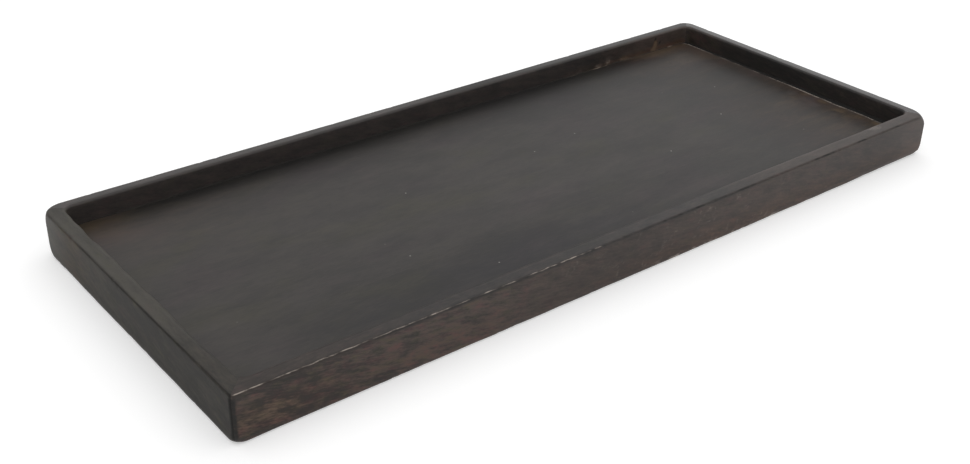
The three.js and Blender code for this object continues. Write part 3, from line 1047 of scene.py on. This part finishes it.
class Nodes:
    """A node tree that grows by short calls."""

    def __init__(self, tree):
        self.tree = tree
        tree.nodes.clear()

    def add(self, kind, inputs=None, **settings):
        """A new node with its settings, its inputs fed from sockets or set to values."""
        node = self.tree.nodes.new(kind)
        for key, value in settings.items():
            setattr(node, key, value)
        for key, source in (inputs or {}).items():
            if isinstance(source, bpy.types.NodeSocket):
                self.tree.links.new(source, node.inputs[key])
            else:
                node.inputs[key].default_value = source
        return node

    def noise(self, place, scale, detail=3.0):
        """Noise whose cells are 1 / scale long on each axis, about its middle of 0."""
        scaled = self.add("ShaderNodeVectorMath", {0: place, 1: scale}, operation="MULTIPLY")
        inputs = {"Vector": scaled.outputs[0], "Scale": 1.0}
        inputs.update({"Detail": detail, "Roughness": NOISE_ROUGHNESS})
        return self.math("SUBTRACT", self.add("ShaderNodeTexNoise", inputs).outputs[0], 0.5)

    def math(self, operation, a, b):
        """Two values put together by one operation."""
        return self.add("ShaderNodeMath", {0: a, 1: b}, operation=operation).outputs[0]

    def plus(self, value, part, amount):
        """A value with a share of another added."""
        inputs = {0: part, 1: amount, 2: value}
        return self.add("ShaderNodeMath", inputs, operation="MULTIPLY_ADD").outputs[0]

    def remap(self, value, from_low, from_high, to_low=0.0, to_high=1.0):
        """A value moved smoothly from one range to another, and kept inside it."""
        inputs = {0: value, 1: from_low, 2: from_high, 3: to_low, 4: to_high}
        return self.add("ShaderNodeMapRange", inputs, interpolation_type="SMOOTHSTEP").outputs[0]

    def mix(self, factor, a, b, blend="MIX"):
        """One colour laid over another, or multiplied into it, by a factor."""
        inputs = {0: factor, 6: a, 7: b}
        return self.add("ShaderNodeMix", inputs, data_type="RGBA", blend_type=blend).outputs[2]

    def attribute(self, name):
        """One of the looks that a mesh carries at its points."""
        return self.add("ShaderNodeAttribute", attribute_name=name).outputs["Fac"]


def new_material(name):
    """An empty material and its node tree."""
    material = bpy.data.materials.new(name)
    material.use_nodes = True
    return material, Nodes(material.node_tree)


def laid_grain(n, place, along_y, grain, shift):
    """The noise of a piece's grain: its patches, streaks, flecks and hues."""
    inputs = {
        "Vector": place,
        "Location": tuple(shift * share for share in GRAIN_SHIFT),
        "Rotation": (grain.slant, 0, math.pi / 2) if along_y else (0, grain.slant, 0),
    }
    laid = n.add("ShaderNodeMapping", inputs).outputs[0]
    return [n.noise(laid, bumps) for bumps in (grain.patch, grain.streak, grain.fleck, grain.hue)]


def stained(n, stain, lines, tint):
    """The stain's colour: lighter and darker along the grain, with patches of other hues."""
    tone = n.math("ADD", n.math("ADD", n.attribute("tone"), MIDDLE_TONE), lines)
    colour = n.mix(n.remap(tone, *TONE_RANGE), stain.dark, stain.light)
    colour = n.mix(n.remap(tint, 0.0, TINT_RANGE), colour, stain.olive_tint, "MULTIPLY")
    colour = n.mix(n.remap(tint, 0.0, -TINT_RANGE), colour, stain.rose_tint, "MULTIPLY")
    warm = n.plus(n.attribute("warm"), lines, WARM_GRAIN)
    colour = n.mix(n.remap(warm, *WARM_RANGE), colour, WARM_TINT, "MULTIPLY")
    colour = n.mix(n.remap(warm, *THIN_RANGE), colour, stain.thin)
    return n.mix(n.remap(warm, *SLATE_RANGE), colour, stain.slate_tint, "MULTIPLY")


def worn_and_shaded(n, colour, streak, fleck):
    """A colour with the dark lines and painted shade, and the bare wood of a piece, laid over it."""
    dark = n.math("MULTIPLY", n.attribute("dark"), n.plus(1.0, streak, DEEP_STREAKS))
    colour = n.mix(n.remap(dark, *COVER_RANGE), colour, DEEP_STAIN_AND_SHADE)
    bare = n.math("MULTIPLY", n.attribute("bare"), n.plus(1.0, fleck, BARE_FLECKS))
    return n.mix(n.remap(bare, *COVER_RANGE), colour, BARE_WOOD)


def dusted(n, colour, place):
    """A colour with a few pale specks of dust on it."""
    inputs = {"Vector": place, "Scale": 1 / SPECK_SPACING, "Randomness": 1.0}
    cells = n.add("ShaderNodeTexVoronoi", inputs, voronoi_dimensions="2D")
    radius = SPECK_RADIUS / SPECK_SPACING
    near = n.remap(cells.outputs["Distance"], radius, SPECK_CORE * radius)
    chosen = n.add("ShaderNodeSeparateColor", {0: cells.outputs["Color"]}).outputs[0]
    depth = n.add("ShaderNodeSeparateXYZ", {0: place}).outputs["Y"]
    near = n.math("MULTIPLY", near, n.remap(depth, *SPECK_DEPTH))
    return n.mix(n.math("MULTIPLY", near, n.remap(chosen, *SPECK_CHOICE)), colour, SPECK)


def wood(name, along_y, stain, grain, finish, dust=False):
    """Dark-stained wood, streaked along its grain, with patches of other hues, wear, painted shade and
    sheen, and dust if asked.
    """
    material, n = new_material(name)
    place = n.add("ShaderNodeTexCoord").outputs["Object"]
    figure = n.attribute("figure")
    patch, streak, fleck, hue = laid_grain(n, place, along_y, grain, finish.shift)
    lines = n.math("MULTIPLY", patch, grain.weights[0])
    lines = n.plus(lines, streak, grain.weights[1])
    lines = n.plus(lines, fleck, grain.weights[2])
    lines = n.math("MULTIPLY", lines, figure)
    tint = n.math("MULTIPLY", n.math("MULTIPLY", hue, grain.weights[3]), figure)
    tint = n.math("SUBTRACT", tint, n.attribute("rose"))
    colour = worn_and_shaded(n, stained(n, stain, lines, tint), streak, fleck)
    if dust:
        colour = dusted(n, colour, place)
    rough = n.plus(finish.roughness, n.attribute("polish"), POLISH_ROUGHNESS)
    rough = n.plus(rough, n.attribute("dark"), DARK_ROUGHNESS)
    rough = n.plus(rough, n.math("MULTIPLY", streak, figure), STREAK_ROUGHNESS)
    height = n.math("MULTIPLY", n.math("ADD", streak, fleck), figure)
    relief = {"Height": height, "Strength": RELIEF_STRENGTH, "Distance": RELIEF_DEPTH}
    inputs = {
        "Base Color": colour,
        "Roughness": rough,
        "Specular IOR Level": finish.specular,
        "Normal": n.add("ShaderNodeBump", relief).outputs[0],
    }
    shader = n.add("ShaderNodeBsdfPrincipled", inputs)
    n.add("ShaderNodeOutputMaterial", {0: shader.outputs[0]})
    return material


def steel():
    """Drawn steel wire with fine lengthwise marks."""
    material, n = new_material("pin_steel")
    place = n.add("ShaderNodeTexCoord").outputs["Object"]
    marks = n.noise(place, STEEL_MARKS, detail=2.0)
    colour = n.mix(n.remap(marks, *STEEL_COLOUR_RANGE), STEEL_DARK, STEEL_LIGHT)
    rough = n.remap(marks, *STEEL_GLOSS_RANGE, *STEEL_ROUGHNESS)
    inputs = {"Base Color": colour, "Roughness": rough, "Metallic": 1.0}
    shader = n.add("ShaderNodeBsdfPrincipled", inputs)
    n.add("ShaderNodeOutputMaterial", {0: shader.outputs[0]})
    return material


def dress_pins(material):
    """The pins keep their solids and take the steel."""
    for name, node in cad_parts.items():
        if name.startswith("corner_pin"):
            node.data.materials.clear()
            node.data.materials.append(material)


def make_camera():
    """The camera, placed so that the middle of the tray falls on its pixel of the picture."""
    azimuth, elevation = CAMERA_AZIMUTH, CAMERA_ELEVATION
    back = Vector((math.sin(azimuth), -math.cos(azimuth), 0)) * math.cos(elevation)
    back.z = math.sin(elevation)
    level_right = Vector((0, 0, 1)).cross(back).normalized()
    level_up = back.cross(level_right)
    right = level_right * math.cos(CAMERA_ROLL) + level_up * math.sin(CAMERA_ROLL)
    up = level_up * math.cos(CAMERA_ROLL) - level_right * math.sin(CAMERA_ROLL)
    pixel = CAMERA_DISTANCE / FOCAL_PIXELS
    aside = (TARGET_PIXEL[0] - IMAGE_WIDTH / 2) * pixel
    above = (IMAGE_HEIGHT / 2 - TARGET_PIXEL[1]) * pixel
    middle = Vector((0, 0, HEIGHT / 2))
    data = bpy.data.cameras.new("camera")
    data.sensor_fit = "HORIZONTAL"
    data.sensor_width = SENSOR_WIDTH
    data.lens = FOCAL_PIXELS * SENSOR_WIDTH / IMAGE_WIDTH
    data.clip_start = CAMERA_NEAR
    camera = add_object("camera", data)
    place = middle + back * CAMERA_DISTANCE - right * aside - up * above
    camera.matrix_world = Matrix.Translation(place) @ Matrix((right, up, back)).transposed().to_4x4()
    bpy.context.scene.camera = camera


def seen_white(n):
    """1 for rays that come from the camera, from a gloss or through a glass, else 0."""
    path = n.add("ShaderNodeLightPath")
    rays = [path.outputs[f"Is {kind} Ray"] for kind in ("Camera", "Glossy", "Transmission")]
    return n.math("MAXIMUM", n.math("MAXIMUM", rays[0], rays[1]), rays[2])


def floor_white():
    """A white that keeps shadows, lifted to pure white where no shadow falls."""
    material, n = new_material("floor_white")
    diffuse = n.add("ShaderNodeBsdfDiffuse", {"Color": FLOOR_COLOUR})
    lift = n.math("MULTIPLY", seen_white(n), FLOOR_LIFT)
    glow = n.add("ShaderNodeEmission", {"Color": WHITE, "Strength": lift})
    both = n.add("ShaderNodeAddShader", {0: diffuse.outputs[0], 1: glow.outputs[0]})
    n.add("ShaderNodeOutputMaterial", {0: both.outputs[0]})
    return material


def make_floor():
    """A wide white floor just under the tray."""
    mesh = bpy.data.meshes.new("floor")
    signs = ((-1, -1), (1, -1), (1, 1), (-1, 1))
    corners = [(x * FLOOR_HALF, y * FLOOR_HALF, -FLOOR_GAP) for x, y in signs]
    mesh.from_pydata(corners, [], [(0, 1, 2, 3)])
    mesh.materials.append(floor_white())
    floor = add_object("floor", mesh)


def make_world():
    """Soft light all round, stronger from above and from the right, that the camera sees as plain white."""
    world = bpy.data.worlds.new("studio")
    bpy.context.scene.world = world
    world.use_nodes = True
    n = Nodes(world.node_tree)
    direction = n.add("ShaderNodeTexCoord").outputs["Generated"]
    parts = n.add("ShaderNodeSeparateXYZ", {0: direction})
    height = n.remap(parts.outputs["Z"], 0.0, WORLD_RISE, WORLD_LOW, WORLD_HIGH)
    side = n.remap(parts.outputs["X"], -WORLD_REACH, WORLD_REACH, WORLD_LEFT, WORLD_RIGHT)
    soft = n.add("ShaderNodeBackground", {"Color": WHITE, "Strength": n.math("MULTIPLY", height, side)})
    white = n.add("ShaderNodeBackground", {"Color": WHITE, "Strength": 1.0})
    is_camera = n.add("ShaderNodeLightPath").outputs["Is Camera Ray"]
    mixed = n.add("ShaderNodeMixShader", {0: is_camera, 1: soft.outputs[0], 2: white.outputs[0]})
    n.add("ShaderNodeOutputWorld", {0: mixed.outputs[0]})


def make_key_light():
    """One large lamp at the back right, turned towards the tray."""
    data = bpy.data.lights.new("key", "AREA")
    data.shape = "SQUARE"
    data.size = KEY_SIZE
    data.energy = KEY_POWER
    key = add_object("key", data)
    key.location = Vector(KEY_DIRECTION).normalized() * KEY_DISTANCE
    key.rotation_mode = "QUATERNION"
    key.rotation_quaternion = key.location.to_track_quat("Z", "Y")


rail_woods = [
    wood(f"{RAILS[side]}_wood", side % 2 == 1, RAIL_STAINS[side], RAIL_GRAIN, RAIL_FINISHES[side])
    for side in range(4)
]
panel_wood = wood("panel_wood", False, PANEL_STAIN, PANEL_GRAIN, PANEL_FINISH, dust=True)
for side in range(4):
    make_rail(side, rail_woods[side])
for name in BOARDS:
    make_board(name, panel_wood)
for front_board, back_board in zip(BOARDS, BOARDS[1:]):
    make_seam(front_board, back_board, panel_wood)
make_bead(panel_wood)
dress_pins(steel())
make_camera()
make_floor()
make_world()
make_key_light()
bpy.context.scene.view_settings.view_transform = "Standard"
